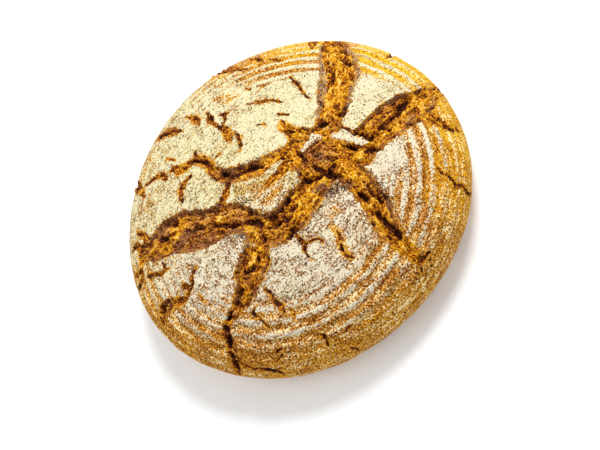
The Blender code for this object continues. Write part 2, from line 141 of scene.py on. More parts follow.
# Narrow cracks and hairlines, given in the same way
narrowCracks = (
    ((-24, 14.5, 2.6), (-31, 9, 3), (-36, 6.5, 3), (-42, 5, 3)),
    ((-99, 42, 4), (-99.5, 49, 3), (-101.5, 56, 2), (-104, 59, 1)),
    ((-108, 44, 4), (-110, 53, 2.5), (-117, 56, 2), (-120, 58, 1)),
    ((-119, 30, 2), (-123, 27, 2.8), (-130, 27, 2.8), (-136, 31, 2.4), (-142, 37, 1.8)),
    ((-28.5, 56, 2), (-26.5, 61, 1.2)),
    ((-46, 64, 2), (-46, 70, 1)),
    ((-73, 87, 1.5), (-70.5, 84, 2), (-66, 82, 1.6), (-61, 79, 2.2), (-58, 75, 3.2), (-56.5, 70, 3),
     (-57, 66.5, 1.5)),
    ((-41, 47.5, 1.5), (-46, 48.5, 2), (-50, 47.5, 2.8), (-54.5, 45, 2.6), (-57.5, 40, 2),
     (-58.5, 36.5, 1)),
    ((-84, 112, 4), (-82, 104, 5), (-80.5, 95, 4.5), (-79.5, 86, 3), (-79.5, 77, 1)),
    ((-13.5, 102, 1), (-11, 96, 2), (-9.8, 90, 3.6), (-9, 85, 3), (-10.3, 80.5, 1)),
    ((0.5, 84.5, 1), (0.5, 80.5, 1.6), (-1.5, 75.5, 4), (-1.8, 69, 2), (-1, 63, 1.2)),
    ((-1, 63, 1.2), (1, 57, 2.8), (0.8, 51, 3.8), (-0.8, 46, 3.2), (-2, 42, 1.2)),
    ((1.5, 60, 1.6), (6.5, 63.5, 1.6), (9, 67, 2.2), (6, 72, 1)),
    ((4.5, 46, 1), (5.3, 41.5, 1.6), (4.2, 37, 1.4), (1.5, 32, 1.8), (-1.2, 28.5, 1)),
    ((26.5, 60.5, 0.6), (31, 56.5, 1.3), (35, 52.5, 2.1), (39, 49.3, 1.4), (42, 46, 0.9), (44.5, 41, 1.3),
     (46, 37, 0.6)),
    ((64.5, 55, 0.7), (64, 49, 1.5), (64, 43, 1.2), (63, 36, 1.1), (61.3, 29, 1.3), (61.8, 23.5, 1)),
    ((55, 113, 1.5), (57, 106, 3), (58.5, 100, 3.6), (59.5, 95, 2.2), (59.5, 91, 1)),
    ((65.5, 91, 1), (67.5, 86, 1.9), (69.5, 81, 1.4), (70.3, 77, 1)),
    ((104, 90, 2.4), (101.5, 83, 4), (97.5, 76, 2.6), (95, 72, 1)),
    ((129.5, 19.5, 1.2), (133, 20.5, 2.4), (138, 24, 2), (143, 28.5, 2), (148, 34, 1.6), (153, 42, 1)),
    ((62, -14, 1.5), (62.3, -20, 1.5), (63, -25, 2), (66, -30, 3)),
    ((-111, -86, 2.5), (-109.5, -92, 2), (-108, -97, 1.4), (-104.5, -101, 1.6), (-101, -105, 2),
     (-99, -109, 1.8), (-98, -114, 1.4), (-100.5, -118, 1.6)),
    ((-70.3, -71, 1), (-73.5, -73, 1.3), (-72.8, -79, 1.1), (-73.5, -88, 1.2)),
    ((-55.6, -68.5, 1), (-55, -73, 1.5), (-57, -77, 1.4), (-56, -82, 1.6), (-56, -86, 3),
     (-57.5, -90, 1.2)),
    ((-52, -117.5, 1.2), (-49.7, -122, 1.5), (-51.5, -126, 1.2), (-54, -129, 1)),
    ((-45, -143.5, 1), (-45.5, -151, 2.4)),
    ((-117, 21, 1.5), (-113, 18, 2), (-109, 13, 2), (-105, 9.5, 2.2), (-100.5, 8, 1.2), (-97.5, 5.5, 1)),
    ((-100.8, 8.5, 1.2), (-99.8, 14, 1.5)),
    ((-97, -15.5, 2.6), (-94.5, -18.5, 1.6)),
    ((-14.5, -58, 1.8), (-14, -68, 1.8), (-8, -70, 1), (-4.5, -72.5, 1), (-4, -76, 1)),
    ((-14, -68, 1.2), (-17.5, -71, 1.2), (-18.5, -76, 1), (-17, -80, 1)),
    ((8.5, -77.5, 0.8), (7, -82, 1.6), (6.8, -84.5, 0.8)),
    ((3.5, -86.5, 0.8), (2, -89.5, 1.5), (0.5, -95, 1.2), (3, -99, 0.6)),
    ((90, -87, 1), (90, -91.5, 1), (93.2, -95.7, 1.3), (93.8, -101, 1.3), (93.5, -104.5, 1.9),
     (97, -105.3, 1.4), (100.2, -107.2, 1.6), (101.5, -112, 2.2)),
    ((101.5, -112, 2.2), (106, -116, 2), (111, -117.6, 1), (116, -118, 1)),
    ((38, -131.5, 2), (46, -131, 1.4)),
    ((-46.3, 82, 1), (-44, 78, 1.2), (-41.8, 73.2, 1)),
    ((37.7, 31, 1), (42, 23.4, 1)),
    ((22, 36, 1), (25.5, 31, 1)),
    ((-60, -42.5, 1.2), (-67.5, -43.3, 1)),
    ((-53.4, -92, 1), (-52.4, -95.7, 1.2), (-55.5, -99, 1)),
    ((-90, -107, 1), (-82.4, -107.5, 1)),
    ((-83.7, -103.4, 1), (-79.2, -104, 1)),
    ((-93, -31, 1), (-94, -35, 1)),
    ((34.5, -135.5, 1.3), (33.3, -138, 1.1)),
    ((-38, -131, 0.9), (-32.6, -130.8, 0.9)),
    ((-20, 41.5, 0.8), (-13, 41.5, 0.8)),
    ((9.5, 67.2, 1.6), (13.8, 66, 0.6)),
    ((34.5, 76, 1), (36, 71.5, 1)),
    ((43.5, -135.5, 1.2), (43.6, -135.6, 1.2)),
    ((41.5, -140, 1.2), (41.6, -140.1, 1.2)),
    ((34.5, -142, 1.2), (34.6, -142.1, 1.2)),
    ((46, -149, 1.2), (46.1, -149.1, 1.2)),
    ((126.8, -66.5, 1.5), (127, -68.5, 1.5)),
)

# Scraps of crust left standing inside the wide tears
crustScraps = (
    ((31, -9, 1.6), (37, -8.6, 2.6), (42, -7.6, 3.6), (44.5, -9, 2.8)),
    ((54, -18.5, 3.2), (58, -21.5, 4.6), (60, -27, 3.6), (63.2, -34, 3.2), (65.5, -38, 1.6)),
    ((52.5, -8, 0.8), (55, -9.5, 1)),
)

# Holes in the crumb at the bottom of the tears: place, radius and extra depth, which is partly cut in and
# partly painted shade
crumbHoles = (
    (18, -32, 4, 4), (22.5, -45.5, 4, 3), (37, -24, 5, 3), (37, -38, 5, 4), (57, -36, 3.5, 4),
    (54, -1, 3, 2.5), (69, -6, 2.5, 2), (83, 24, 4, 2.5), (105.5, 33, 4, 3), (91, 34, 3, 2),
    (66, -46, 4, 3), (70, -27, 4, 2.5), (82, -37, 4, 3), (102, -33, 5, 3), (113, -28, 4, 3),
    (36, -93, 4, 3.5), (37, -108, 4, 3.5), (34, -123, 4, 2.5), (40, -131, 3.5, 2),
    (-13, -54.5, 5, 3.5), (-30, -24, 4, 4), (-17, -35, 6, 3), (-2, -36, 5, 2.5), (-40, -16, 5, 2.5),
    (-91, 28, 3.5, 3.5), (-78, 34, 4, 2.5), (-54, 3, 4, 2), (-100, -70, 4, 2.5), (-110, -81, 4, 2),
    (-122, -8, 4, 2), (-21, 24, 3, 2), (4, 5.5, 3, 2),
)

# Deep splits that run along the bottom of the wide tears, cut in and darkened further with painted shade
fissures = (
    ((70, -39, 2.2), (76, -40, 1.5)), ((80, -37.5, 1.5), (88, -37, 1.8), (92, -35.5, 1)),
    ((92, -36.5, 1), (98, -35, 1.6), (104, -34, 1.8), (110, -31.5, 1.6), (116, -30, 1.2)),
    ((64, -31, 2), (69, -35, 2.4), (71, -39, 1.5)), ((56, -33, 2), (58, -38, 2.2)),
    ((62, -46, 2.2), (67, -49, 2.2)),
    ((36, -88, 1.6), (37, -95, 1.8), (37, -101, 1.8), (38, -106, 2.4), (37, -112, 2)),
    ((38, -68, 1), (39, -74, 1.2)), ((45, -68, 1), (44, -76, 1.3), (45, -84, 1)),
    ((-90, 29, 2.5), (-86, 26, 1.5)), ((-76, 28, 1.5), (-73, 27.5, 2.2)),
    ((-70, 14, 1.2), (-62, 7, 1.8), (-57, 2, 1.2)),
    ((-52, -2, 1.5), (-47, -8, 1.8), (-42, -15, 1.6), (-37, -18, 1.2)),
    ((-33, -21, 2), (-29, -26, 2.6), (-27, -32, 2)), ((-24, -38, 1.2), (-18, -42.5, 1.8), (-8, -45, 1.6)),
    ((-15, -34.5, 1.8), (-6, -34.5, 2), (4, -32, 1.4)), ((0, -42, 1.2), (-5, -41.5, 1.6)),
    ((17, -31, 2.4), (19, -34, 2.2)), ((20, -36, 0.8), (26, -37, 0.8)), ((27, -9, 1), (27, -18, 1)),
    ((28, -27, 1.2), (30, -35, 1.8), (33, -44, 2.2), (36, -48, 1.5)), ((13, -4.5, 1.5), (15.5, -4, 1.5)),
    ((30, -12, 1.2), (36, -13.5, 1.5), (42, -13, 1.2)),
    ((-22, 24, 2), (-18, 17, 1.6), (-9, 10.5, 1.5), (-2, 7.5, 1.5), (2, 3, 1.5)),
    ((80, 21, 1.5), (84, 24, 2.4), (90, 31, 1.5)), ((103, 43, 1.5), (104, 36, 2.2), (106, 30, 2.5)),
    ((111, 46, 1.5), (112, 53, 1.2)), ((102, 68, 1.2), (104, 60, 1.5)), ((52, -3, 2), (56, -6, 2)),
    ((70, -8, 1.6), (75, -5, 1)), ((-90, -60, 2), (-86, -60, 1.4)), ((-98, -61, 2), (-97, -65, 1.6)),
    ((-102, -70, 2.4), (-105, -74, 2)), ((-111, -76, 2), (-113, -81, 1.6), (-120, -86, 1.4)),
    ((-58, -50, 1.4), (-50, -52, 1.8), (-46, -50, 1.4)),
    ((-68, -56, 1.2), (-76, -58, 1.6), (-80, -62, 1.2)),
    ((-14, -53, 1.6), (-18, -56, 1.8), (-12, -57, 1.8)), ((-127, -9, 1.8), (-120, -9, 1.8), (-114, -10, 1)),
    ((33, 128, 2), (37, 120, 1.8)), ((-38, 113, 1.6), (-30, 104, 1.8)), ((-82, 106, 1.8), (-81, 96, 1.6)),
    ((33, 13, 1.2), (35, 8, 1)), ((-26, 36, 1.4), (-26, 46, 1.6), (-31, 55, 1)),
)


def softStep(value, low, high):
    share = np.clip((value - low) / (high - low), 0, 1)
    return share * share * (3 - 2 * share)


def cloud(points, size, octaves=2, seed=0.0):
    # smooth random values, about -1 to 1, with features of this size
    spots = (points / size + (seed, -seed, 2 * seed)).tolist()
    return np.array([noise.fractal(spot, 1, 2, octaves) for spot in spots])


def crownProfile(steps=1200):
    # length along the crust, share of the plan's radius, and height, from the top to the base
    dome = loafShape["height"] - loafShape["widestLevel"]
    power = 2 / loafShape["crownPower"]
    turn = np.linspace(0, 2, steps)
    up = np.clip(turn, 0, 1) * math.pi / 2
    down = (np.clip(turn, 1, 2) - 1) * math.pi / 2
    side = loafShape["baseShare"] + (1 - loafShape["baseShare"]) * np.cos(down)
    share = np.where(turn <= 1, np.sin(up) ** power, side)
    crown = loafShape["widestLevel"] + dome * np.abs(np.cos(up)) ** power
    level = np.where(turn <= 1, crown, loafShape["widestLevel"] * (1 - np.sin(down)))
    level[-1] = 0
    pieces = np.hypot(np.diff(share * loafShape["radius"]), np.diff(level))
    return np.concatenate(([0], np.cumsum(pieces))), share, level


profile = crownProfile()
crustLength = profile[0][-1]


def flatFromBall(ball):
    # place on the flat map for each corner of the starting ball, and 1 to 0 from base edge to middle
    polar = np.degrees(np.arccos(np.clip(ball[:, 2], -1, 1)))
    angle = np.arctan2(ball[:, 1], ball[:, 0])
    length = np.minimum(polar / loafShape["baseAngle"], 1) * crustLength
    under = np.clip((180 - polar) / (180 - loafShape["baseAngle"]), 0, 1)
    return np.column_stack((length * np.cos(angle), length * np.sin(angle))), under


def loafPlaces(flat, under, raised):
    # places in the loaf, in millimetres, of points of the flat map raised off the crust
    length, share, level = profile
    along = np.linalg.norm(flat, axis=1)
    angle = np.arctan2(flat[:, 1], flat[:, 0])
    plan = np.full(len(flat), 1.0)
    for waves, cosine, sine in loafShape["planWaves"]:
        plan = plan + cosine * np.cos(waves * angle) + sine * np.sin(waves * angle)
    radius = np.interp(along, length, share) * loafShape["radius"] * plan * under
    height = np.interp(along, length, level)
    outward = -np.gradient(level, length)
    upward = np.gradient(share * loafShape["radius"], length)
    radius = radius + raised * np.interp(along, length, outward)
    height = height + raised * np.interp(along, length, upward)
    height = np.where(along >= crustLength - 0.001, 0, np.maximum(height, 0))
    return np.column_stack((radius * np.cos(angle), radius * np.sin(angle), height))


def insideStrip(points, line):
    # how far each point lies inside a strip, then half its width there, the side of it, and the
    # places along and across it
    deepest = np.full(len(points), -1e6)
    found = np.zeros((len(points), 4))
    passed = 0
    for start, end in zip(line, line[1:]):
        a = np.array(start[:2], float)
        run = np.array(end[:2], float) - a
        length = math.hypot(*run)
        share = np.clip((points - a) @ run / length ** 2, 0, 1)
        offset = points - a - share[:, None] * run
        away = np.linalg.norm(offset, axis=1)
        half = start[2] + share * (end[2] - start[2])
        across = (run[0] * offset[:, 1] - run[1] * offset[:, 0]) / length
        here = np.column_stack((half, offset[:, 1] / np.maximum(away, 0.5), passed + share * length, across))
        nearer = half - away > deepest
        deepest = np.where(nearer, half - away, deepest)
        found = np.where(nearer[:, None], here, found)
        passed += length
    return deepest, found


def insideAny(points, lines):
    deepest = np.full(len(points), -1e6)
    for line in lines:
        deepest = np.maximum(deepest, insideStrip(points, line)[0])
    return deepest


def tearReach(points):
    # the same for the nearest tear, then how much nearer it is than the next one
    deepest = np.full(len(points), -1e6)
    second = deepest
    found = np.zeros((len(points), 4))
    for number, line in enumerate((*wideTears.values(), *narrowCracks)):
        reach, here = insideStrip(points, line)
        here[:, 2] += 300 * number
        nearer = reach > deepest
        second = np.maximum(second, np.minimum(reach, deepest))
        deepest = np.where(nearer, reach, deepest)
        found = np.where(nearer[:, None], here, found)
    return deepest, np.column_stack((found, deepest - second))


def raggedReach(flat, plain):
    # the same with torn, uneven edges, and the place among the tear's strands
    reach, found = tearReach(flat)
    half, side, along, across, lead = found.T
    amount = np.minimum(tearShape["ragged"], 0.35 + 0.3 * half)
    wander = 0.6 * cloud(plain, 8, 2, 3.1) + 0.8 * cloud(plain, 3.0, 3, 8.4)
    strand = np.column_stack((along * tearShape["strandStretch"], across, softStep(lead, 0.3, 4)))
    return reach + amount * wander * (reach > -8), half, side, strand


def growCrust():
    # a ball whose mesh is split until it is fine enough for the tears
    crust = bmesh.new()
    bmesh.ops.create_icosphere(crust, subdivisions=6, radius=1)
    edgeAngle = loafShape["baseAngle"]
    for corner in crust.verts:
        polar = math.degrees(math.acos(max(-1, min(1, corner.co.z))))
        if abs(polar - edgeAngle) < 1:       # a clean ring of corners at the base's edge
            ring = math.hypot(corner.co.x, corner.co.y)
            flat = math.sin(math.radians(edgeAngle)) / ring
            corner.co = (corner.co.x * flat, corner.co.y * flat, math.cos(math.radians(edgeAngle)))
    for turn in range(4):
        crust.verts.index_update()
        crust.edges.ensure_lookup_table()
        ball = np.array([corner.co for corner in crust.verts])
        flat, under = flatFromBall(ball)
        plain = loafPlaces(flat, under, np.zeros(len(flat)))
        reach = np.where(under < 1, -99, tearReach(flat)[0])
        ends = np.array([[corner.index for corner in edge.verts] for edge in crust.edges])
        long = np.linalg.norm(plain[ends[:, 0]] - plain[ends[:, 1]], axis=1)
        near = reach[ends].max(1) > -tearShape["ragged"] - loafShape["tearMargin"] * 0.5
        onBase = under[ends].min(1) < 1
        limit = np.where(near, loafShape["tearEdge"], loafShape["plateEdge"])
        limit = np.where(onBase, 9, limit)
        chosen = [crust.edges[i] for i in np.flatnonzero(long > limit)]
        if not chosen:
            break
        bmesh.ops.subdivide_edges(crust, edges=chosen, cuts=1, use_grid_fill=True)
        bmesh.ops.triangulate(crust, faces=[face for face in crust.faces if len(face.verts) > 3])
        for corner in crust.verts:
            corner.co.normalize()
        print("mesh split", turn + 1, "faces", len(crust.faces))
    return crust


def fromRingCentre(flat):
    return np.linalg.norm(flat - np.array(basketRings["centre"]), axis=1)


def ringRidges(flat, reach, plain):
    # the basket's ridges, which fade out towards the top, the base and the tears
    away = fromRingCentre(flat) + basketRings["wobble"] * cloud(plain, 22, 1, 2.2)
    wave = np.cos((away - basketRings["radius"]) / basketRings["spacing"] * 2 * math.pi)
    last = basketRings["radius"] + basketRings["count"] * basketRings["spacing"]
    shown = softStep(away, basketRings["radius"] - 28, basketRings["radius"] - 2)
    shown = shown * (1 - softStep(away, last - 14, last)) * softStep(-reach, 0, 5)
    return basketRings["height"] * wave * shown


def tearWall(half, side, plain):
    # width of a tear's sloping side
    steep = np.minimum(tearShape["farWall"], 0.6 * half + 0.1)
    gentle = np.minimum(tearShape["nearWall"], 0.85 * half + 0.1)
    wall = gentle + (steep - gentle) * softStep(side, -0.75, 0.15)
    return wall * (1 + 0.45 * cloud(plain, 8, 2, 12.3))


def tearDrop(flat, reach, half, wall, scrap):
    # how far the tears have sunk
    depth = np.minimum(tearShape["depth"] + tearShape["depthShare"] * half, tearShape["depthMost"])
    middle = softStep(reach, wall, np.maximum(half, wall + 0.5)) * (half > 5)
    drop = softStep(reach, 0, wall) * depth * (1 - tearShape["floorRise"] * middle)
    drop = drop * (1 - (1 - tearShape["scrapDrop"]) * softStep(scrap, -1.2, 0.5))
    return drop * (1 - tearShape["farRimShut"] * softStep(flat[:, 1], *tearShape["farRim"]))


def rolledLip(reach, half, side, plain):
    # crust that curled up beside the wide tears
    curl = np.exp(np.minimum(reach, 0) / tearShape["lipWidth"]) * (reach <= 0)
    lip = tearShape["lipHeight"] * curl * softStep(half, 3, 9) * (0.8 + 0.9 * cloud(plain, 11, 1, 5.5))
    return lip * (0.3 + 0.7 * softStep(side, -0.4, 0.4))


def crumbRoughness(plain, strand):
    # strands that run along the tear, or lie loose where two tears meet, with grains over them
    sharp = tearShape["crumbSharp"]
    strands = 1 - sharp * np.abs(cloud(strand * (1, 1, 0), tearShape["crumbSize"], 3, 1.7))
    loose = 1 - sharp * np.abs(cloud(plain, tearShape["crumbSize"] * 1.2, 3, 1.7))
    strands = loose + (strands - loose) * strand[:, 2]
    grains = cloud(plain, tearShape["grainSize"], 2, 6.3)
    return tearShape["crumbHeight"] * strands + tearShape["grainHeight"] * grains


def deepPlaces(seen, reach, scrap, plain):
    # splits and holes at the bottom of the tears
    split = insideAny(seen, fissures) + 0.9 * cloud(plain, 3.1, 2, 7.9)
    split = softStep(split, -1.3, 1.1) * softStep(reach, -0.5, 0.8) * (1 - softStep(scrap, -1, 0))
    holes = np.zeros(len(seen))
    for x, y, radius, extra in crumbHoles:
        spread = np.hypot(seen[:, 0] - x, seen[:, 1] - y)
        holes = holes + extra * (1 - softStep(spread, 0, radius)) * softStep(reach, 0, 2)
    return split, holes


def crustRelief(flat, plain):
    # height of the finished surface above the plain crown, and what the material needs to know
    reach, half, side, strand = raggedReach(flat, plain)
    scrap = insideAny(flat, crustScraps) + 1.1 * cloud(plain, 3, 2, 1.9)
    wall = tearWall(half, side, plain)
    drop = tearDrop(flat, reach, half, wall, scrap)
    lip = rolledLip(reach, half, side, plain)
    ridges = ringRidges(flat, reach, plain)
    crumb = crumbRoughness(plain, strand)
    torn = softStep(reach, -0.4, 1.2) * softStep(half, 1.5, 5) * (1 - 0.6 * softStep(scrap, -1, 0.5))
    rough = np.clip(crumb, *tearShape["crumbRange"]) * torn
    seen = flat - np.column_stack((np.zeros(len(flat)), tearShape["seenShift"] * drop))
    split, holes = deepPlaces(seen, reach, scrap, plain)
    swell = loafShape["swell"] * cloud(plain, 26, 3, 4.9)
    grit = loafShape["grit"] * cloud(plain, 3.6, 2, 9.2)
    raised = lip + ridges + rough + swell + grit - drop
    raised = raised - holes * tearShape["holeShare"] - tearShape["fissureDepth"] * split
    low = crustLength - np.linalg.norm(flat, axis=1)
    raised = raised * softStep(low, 4, 20)               # the base's edge stays clean

    # painted shade in the colour: narrow cracks, splits, holes, the foot of the far walls and the crumb's low
    # places are darkened, and its crests lightened
    narrow = (1 - softStep(half, 1.2, 5)) * softStep(reach, -0.2, 0.8)
    wide = softStep(half, 4, 8)
    foot = softStep(reach, wall * 0.5, wall) * (1 - softStep(reach, wall, wall * 2.2)) * wide
    foot = foot * softStep(side, -0.3, 0.4)
    onWall = softStep(reach, -0.4, 0.4) * (1 - softStep(reach, wall * 0.6, wall * 1.4)) * wide
    share = hollowShare
    hollow = share["middle"] + share["crumb"] * crumb + share["split"] * split + share["hole"] * holes
    hollow = np.clip(hollow + share["narrow"] * narrow + share["foot"] * foot, -0.2, 1.3)
    return raised, np.minimum(reach, -scrap), half, hollow, onWall, seen, strand


# Where the flour lies. For each direction round the basket's centre, in degrees: how dense it is
# inside, how far out it stays dense, where the last stripe ends, how bare the valleys are, how much
# lies on the rim, and how slowly the valleys grow bare
flourLay = {
    "scuffed": 0.22,         # how much flour has come off beside the tears
    "range": (-0.3, 1.2),
    "directions": (
        (-180, 0.90, 102, 134, 0.40, 0.16, 12),
        (-160, 0.80, 90, 128, 0.55, 0.14, 20),
        (-140, 0.84, 90, 124, 0.65, 0.06, 24),
        (-115, 0.84, 94, 124, 0.75, 0.19, 20),
        (-90, 0.79, 90, 130, 0.72, 0.19, 30),
        (-60, 0.73, 90, 138, 0.76, 0.18, 40),
        (-35, 1.08, 95, 142, 0.92, 0.03, 8),
        (-15, 1.16, 98, 144, 0.95, 0.03, 4),
        (0, 1.06, 122, 146, 0.60, -0.04, 4),
        (20, 1.14, 110, 168, 0.95, 0.02, 2),
        (40, 1.16, 104, 172, 0.92, 0.16, 2),
        (60, 1.1, 96, 156, 0.9, 0.14, 2),
        (80, 0.96, 126, 145, 0.40, 0.28, 12),
        (97, 0.92, 150, 175, 0.15, 0.74, 12),
        (115, 0.90, 118, 160, 0.20, 0.56, 12),
        (135, 0.92, 114, 165, 0.20, 0.84, 12),
        (155, 0.90, 106, 146, 0.35, 0.40, 12),
        (180, 0.90, 102, 134, 0.40, 0.16, 12),
    ),
    # strokes of flour, or of bare crust, over that: how dense, and the strip they fill
    "strokes": (
        (0.16, ((-27, -4, 3), (-20, 3, 6), (-8, 1, 7), (-12, -14, 8), (-4, -24, 8), (8, -20, 6))),
        (0.9, ((-21, -25, 2), (-12, -27.5, 2.4), (-6, -27, 2.8), (0.6, -25, 2.4), (10, -21.5, 2))),
        (0.72, ((-25, -17, 1.5), (-15, -15.5, 1.8), (-6, -16.5, 2), (12, -16.5, 1.6))),
        (0.74, ((-26, -1, 1.8), (-20, -7, 1.8), (-14, -11, 1.8))),
        (0.72, ((-16, 7, 1.8), (-11, 2, 1.7), (-5, -2, 1.6), (-1, -5, 1.4))),
        (0.90, ((3, -6.5, 1.2), (8, -4.5, 1.6), (14, -3, 1.4))),
        (1.2, ((31, -9, 3.2), (37, -8.6, 4), (42, -7.6, 5), (44.5, -9, 4))),
        (1.2, ((54, -18.5, 4.6), (58, -21.5, 6), (60, -27, 5), (63.2, -34, 4.8), (65.5, -38, 3.2))),
        (0.25, ((11, 90, 1.6), (18, 85.5, 2.2), (24, 82, 1.5))),
        (0.25, ((14, 79.5, 1), (22, 76, 1.6), (27, 75, 1))),
        (0.5, ((-20, 46, 2.5), (-10, 47, 2.5))),
        (0.34, ((8, -71, 2.4), (8, -77, 3.2))),
        (0.34, ((5, -84, 3.2), (2, -92, 3), (3, -98, 2))),
        (0.52, ((12, -62, 2), (20, -66, 2.6))),
        (0.58, ((21, -72, 2), (27, -80, 2.4))),
        (0.5, ((-12, -66, 1.6), (2, -69, 1.6))),
        (0.5, ((8, -93, 1.6), (20, -94.5, 2))),
        (0.4, ((24, -49, 3), (30, -54, 3), (34, -60, 2))),
        (0.5, ((2, -58, 1.6), (14, -54, 1.8), (22, -50, 2))),
        (0.55, ((-52, -24, 1.6), (-50, -31, 1.6))),
        (0.45, ((-70, -12, 0.6), (-66.5, -20, 1.1), (-62, -28, 0.9), (-56, -37, 0.8))),
        (0.5, ((12, 16, 1.2), (13, 8, 1.2))),
        (0.5, ((60, 18, 1.2), (63, 26, 1.6))),
    ),
}


def layFlour(flat, reach, plain):
    # how much flour lies on crests and in valleys, and the flour's own tone
    away = fromRingCentre(flat)
    centreX, centreY = basketRings["centre"]
    angle = np.degrees(np.arctan2(flat[:, 1] - centreY, flat[:, 0] - centreX))
    angle = angle + 14 * softStep(away, 120, 165) * cloud(plain, 26, 3, 8.8)
    angle = (angle + 180) % 360 - 180
    table = np.array(flourLay["directions"])
    dense, full, gone, bare, rim, slow = (np.interp(angle, table[:, 0], table[:, i]) for i in range(1, 7))
    away = away + 3 * cloud(plain, 20, 2, 7.7)
    fade = 1 - softStep(away, full, gone)
    crest = rim + (dense - rim) * np.minimum(1, fade * 1.25)
    valley = rim + (dense * (1 - bare) - rim) * (1 - softStep(away, full, full + 22))
    inner = 1 - softStep(away, full - slow, full + 4)
    valley = valley + (dense - valley) * inner
    patch = cloud(plain, 17, 3, 1.1)
    crest = crest + 0.16 * patch
    valley = valley + 0.18 * patch
    for amount, line in flourLay["strokes"]:
        on = softStep(insideStrip(flat, line)[0] + 0.7 * cloud(plain, 4, 2, 3.7), -0.9, 0.6)
        crest = crest + (amount - crest) * on
        valley = valley + (amount - valley) * on
    scuffed = flourLay["scuffed"] * softStep(reach, -3.2, 0)
    return np.clip(valley - scuffed, *flourLay["range"]), np.clip(crest - scuffed, *flourLay["range"])


# How each part baked: toasted spots and golden spots by place, radius and amount
baking = {
    "toasted": (
        (-60, 6, 26, 0.75), (-82, 22, 24, 0.8), (-104, 34, 16, 0.55), (-40, -12, 14, 0.75),
        (-22, -40, 16, 0.45), (34, -24, 15, 0.7), (22, -46, 6, 0.6), (-104, -74, 18, 0.6),
        (-80, -61, 14, 0.55), (-55, -50, 16, 0.45), (42, -103, 12, 0.45), (-20, 22, 18, 0.6),
        (-26, 46, 14, 0.5), (90, -28, 16, 0.45), (106, -46, 10, 0.5), (110, 50, 8, 0.3),
        (-122, -8, 16, 0.6), (4, 8, 10, 0.45),
        (0, 70, 16, 0.5), (-80, 100, 18, 0.8), (-33, 108, 16, 0.8), (36, 122, 20, 0.75), (48, -70, 9, 0.5),
    ),
    # bright yellow crumb: place and radius
    "bright": (
        (118, -38, 11), (127, -40, 8), (33, -78, 6), (32, -88, 6), (41, -51, 6), (65, -53, 5),
        (27, -47, 3.5),
        (22, -10, 6), (72, 8, 7), (90, 22, 8), (5, -47, 7), (-6, -50, 6), (-33, -28, 4), (-47, -5, 6),
        (-74, 22, 8), (-93, 19, 7), (-25, 38, 4), (-12, 8, 5), (8, 4, 6), (80, 12, 6), (99, 46, 6),
        (50, -27, 4),
        (36, 18, 4), (-2, 70, 3), (-56, 70, 3), (-81, 92, 5), (-50, -48, 6), (30, -100, 4), (52, -46, 5),
    ),
    # scorched, greyish purple edges and slopes: how dark, and the strip
    "scorched": (
        (1.0, ((17, -43, 2), (22, -47, 3.6), (25, -50.5, 4), (29, -53, 4), (34, -54.5, 3.8),
               (37, -58.5, 2.4))),
        (0.72, ((33, -21, 1.4), (37, -24.5, 2.8), (37, -29, 2.2))),
        (0.6, ((33, -13, 1.4), (41, -13, 1.4))),
        (0.75, ((52, -58, 1.6), (52.5, -66, 1.8), (51, -75, 1.6), (49.5, -83, 1.4), (46, -90, 1.4))),
        (0.45, ((97, -47, 2.6), (104, -45, 3.4), (110, -46, 1.6))),
        (0.8, ((74, -26, 1.2), (85, -23.5, 1.7), (98, -23, 1.8), (112, -24.5, 1.6))),
        (0.75, ((-92, 37, 3), (-84, 35, 4.5), (-78, 37, 2.5))),
        (0.75, ((-78, 36, 2), (-64, 28, 2), (-56, 18, 3), (-49, 10, 3), (-40, 7, 2.5))),
        (0.6, ((-85, 14, 3), (-78, 10, 4.5), (-72, 12, 3), (-66, 9, 2))),
        (0.55, ((-74, 0, 2), (-66, -6, 3), (-58, -9, 3))),
        (0.8, ((-30, -2, 2), (-24, -8, 2), (-20, -12, 1.6))),
        (0.65, ((-25, -19, 2), (-24, -24, 2.5), (-21, -29, 2.4), (-12, -32.5, 2), (2, -31, 1.4),
                (12, -27, 1.8), (18, -22, 2))),
        (0.85, ((-22, 27, 2), (-16, 20, 1.8), (-6, 15.5, 2), (4, 10, 1.8), (12, 5.5, 1.4), (22, 3.5, 1))),
        (0.65, ((-50, -16, 2.5), (-44, -20, 3), (-40, -28, 2.4), (-44, -34, 1.5))),
        (0.5, ((8, -55, 2), (0, -58, 2.4), (-8, -60, 2))),
    ),
    # paler, dusty grey-brown slopes
    "dusty": (
        (0.75, ((56, 5, 1.8), (67, 15, 3), (77, 26, 3.5), (84, 38, 3.5), (90, 52, 3), (96, 63, 2.4),
                (101, 70, 1))),
        (0.55, ((78, -4, 1.4), (86, 1, 2.4), (95, 8, 3), (103, 14, 2.8), (109, 24, 2.4), (114, 36, 2),
                (115, 50, 1.5))),
        (0.5, ((-50, -27, 2.4), (-44, -36, 2.4), (-40, -40, 1.6))),
    ),
    "gold": (
        (145, 15, 60, 1.5), (140, -70, 52, 1.2), (100, 95, 50, 1.3), (105, -110, 50, 1), (20, 78, 14, 0.9),
        (-8, -21, 12, 0.5), (7, -76, 7, 0.9), (3, -90, 8, 0.9), (15, -64, 8, 0.6), (-118, 60, 40, 0.8),
    ),
}


def overStrips(strips, flat, plain, spread):
    # how strongly a set of strips covers each point, with wandering edges
    wander = 1.3 * cloud(plain, 4.5, 2, spread)
    covered = np.zeros(len(flat))
    for amount, line in strips:
        covered = np.maximum(covered, amount * softStep(insideStrip(flat, line)[0] + wander, -1.6, 1.2))
    return covered


